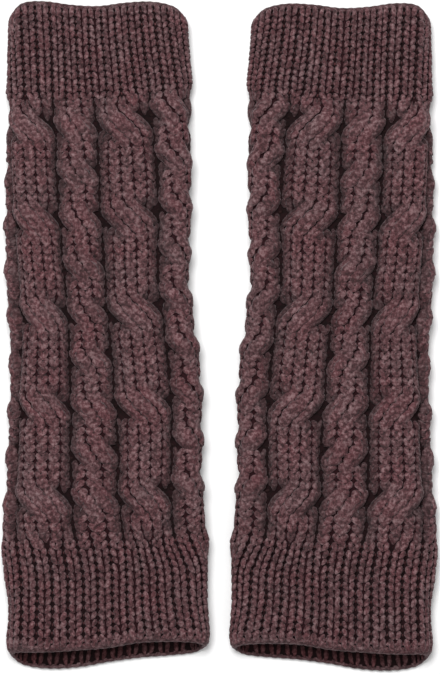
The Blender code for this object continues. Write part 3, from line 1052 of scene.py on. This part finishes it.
def left_arm_warmer(yarn, valley_yarn, gutter_yarn, wall_yarn):
    """Every piece of the left arm warmer, by name."""
    full = model_bead(7, 6)
    plain = model_bead(5, 5)
    pieces = {"knit_wall": knitted_wall("left_knit_wall", wall_yarn)}

    def add(name, bead, groups, material=yarn):
        pieces[name] = joined_beads(f"left_{name}", bead, groups, material)

    def cable(bead, panel):
        wales = wales_of(panel)
        return [legs for wale in wales for legs in wale_legs(bead, wale, BODY_START, BODY_END)]

    def ribs(bead, panels, first, last):
        wales = [wale for panel in panels for wale in wales_of(panel) if wale.rib is not None]
        return [legs for wale in wales for legs in wale_legs(bead, wale, first, last)]

    for panel, name in enumerate(TOP_CABLES):
        add(name, full, cable(full, panel))
    for panel, name in enumerate(UNDER_CABLES, FIRST_UNDER_PANEL):
        add(name, plain, cable(plain, panel))
    top, under = range(FIRST_UNDER_PANEL), range(FIRST_UNDER_PANEL, len(PANELS))
    every = range(len(PANELS))
    add("hand_ribs", full, ribs(full, top, 0, BODY_START))
    add("arm_ribs", full, ribs(full, top, BODY_END, LAST_ROW))
    add("under_ribs", plain, ribs(plain, under, 0, BODY_START) + ribs(plain, under, BODY_END, LAST_ROW))
    add("purl_gutters", plain, [gutter_purls(plain, panel) for panel in every], gutter_yarn)
    valleys = [column for panel in every for column in valley_purls(plain, panel)]
    add("purl_valleys", plain, valleys, valley_yarn)
    add("arm_chain", full, arm_chain(full))
    pieces["hand_edge"] = rolled_edge("left_hand_edge", 0, 1, yarn)
    pieces["arm_edge"] = rolled_edge("left_arm_edge", LAST_ROW, -1, yarn)
    inside = [legs for panel in every for span in INSIDE_SPANS for legs in inside_legs(plain, panel, *span)]
    add("inside_ribs", plain, inside, valley_yarn)
    return pieces


def mirrored_copy(piece, name):
    copy = piece.copy()
    copy.data = piece.data.copy()
    copy.name = copy.data.name = name
    bpy.context.scene.collection.objects.link(copy)
    copy.data.transform(Matrix.Translation((0, RIGHT_SHIFT * MM, 0)) @ Matrix.Scale(-1, 4, (1, 0, 0)))
    copy.data.flip_normals()
    return copy


def both_arm_warmers():
    yarn = yarn_material("mauve_yarn", YARN_BROWN, YARN_MAUVE, YARN_PALE)
    # The yarn in the valleys and gutters is the same yarn, with painted shade
    valley_yarn = yarn_material("mauve_yarn_in_painted_valley_shade", VALLEY_SHADE_BROWN, VALLEY_SHADE_MAUVE, VALLEY_SHADE_PALE)
    gutter_yarn = yarn_material("mauve_yarn_in_painted_gutter_shade", GUTTER_SHADE_BLACK, GUTTER_SHADE_DARK, GUTTER_SHADE_BROWN)
    left = left_arm_warmer(yarn, dulled(valley_yarn), dulled(gutter_yarn), wall_material())
    right = {name: mirrored_copy(piece, f"right_{name}") for name, piece in left.items()}
    for hand, pieces in (("left", left), ("right", right)):
        for piece in pieces.values():
            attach(piece, "root")
        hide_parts(f"{hand}_hand_cuff", f"{hand}_cable_body", f"{hand}_arm_cuff")


# ---------------------------------------------------------------- floor, lights and camera


def floor():
    bpy.ops.mesh.primitive_plane_add(size=6.0, location=(0, 0, -0.0004))
    plane = bpy.context.object
    plane.name = "floor"
    paper = bpy.data.materials.new("floor_white")
    paper.use_nodes = True
    shader = paper.node_tree.nodes["Principled BSDF"]
    shader.inputs["Base Color"].default_value = (0.93, 0.93, 0.93, 1.0)
    shader.inputs["Roughness"].default_value = 0.9
    shader.inputs["Specular IOR Level"].default_value = 0.1
    plane.data.materials.append(paper)


def area_light(name, place, size, power):
    light = bpy.data.lights.new(name, "AREA")
    light.size = size
    light.energy = power
    lamp = bpy.data.objects.new(name, light)
    lamp.location = place
    lamp.rotation_euler = (-Vector(place)).to_track_quat("-Z", "Y").to_euler()
    bpy.context.scene.collection.objects.link(lamp)


def lights():
    area_light("key", (-0.2, 0.55, 1.45), 0.7, 24.0)
    area_light("fill", (0.3, -0.6, 1.6), 1.6, 5.0)
    world = bpy.data.worlds.new("pale_studio")
    world.use_nodes = True
    world.node_tree.nodes["Background"].inputs["Color"].default_value = (1, 1, 1, 1)
    world.node_tree.nodes["Background"].inputs["Strength"].default_value = 0.36
    bpy.context.scene.world = world
    bpy.context.scene.view_settings.view_transform = "Standard"


PHOTO_HEIGHT_MM = 303.3  # what the photograph's height takes in
CAMERA_HEIGHT = 1.60
FOCUS_PLANE = 8.0  # the height over the floor at which that holds, in millimetres
SENSOR = 36.0


def camera():
    made = bpy.data.cameras.new("camera")
    made.sensor_fit = "AUTO"
    made.sensor_width = SENSOR
    made.lens = SENSOR * (CAMERA_HEIGHT - FOCUS_PLANE * MM) / (PHOTO_HEIGHT_MM * MM)
    eye = bpy.data.objects.new("camera", made)
    eye.location = (0.0002, -0.0002, CAMERA_HEIGHT)
    bpy.context.scene.collection.objects.link(eye)
    bpy.context.scene.camera = eye


both_arm_warmers()
floor()
lights()
camera()
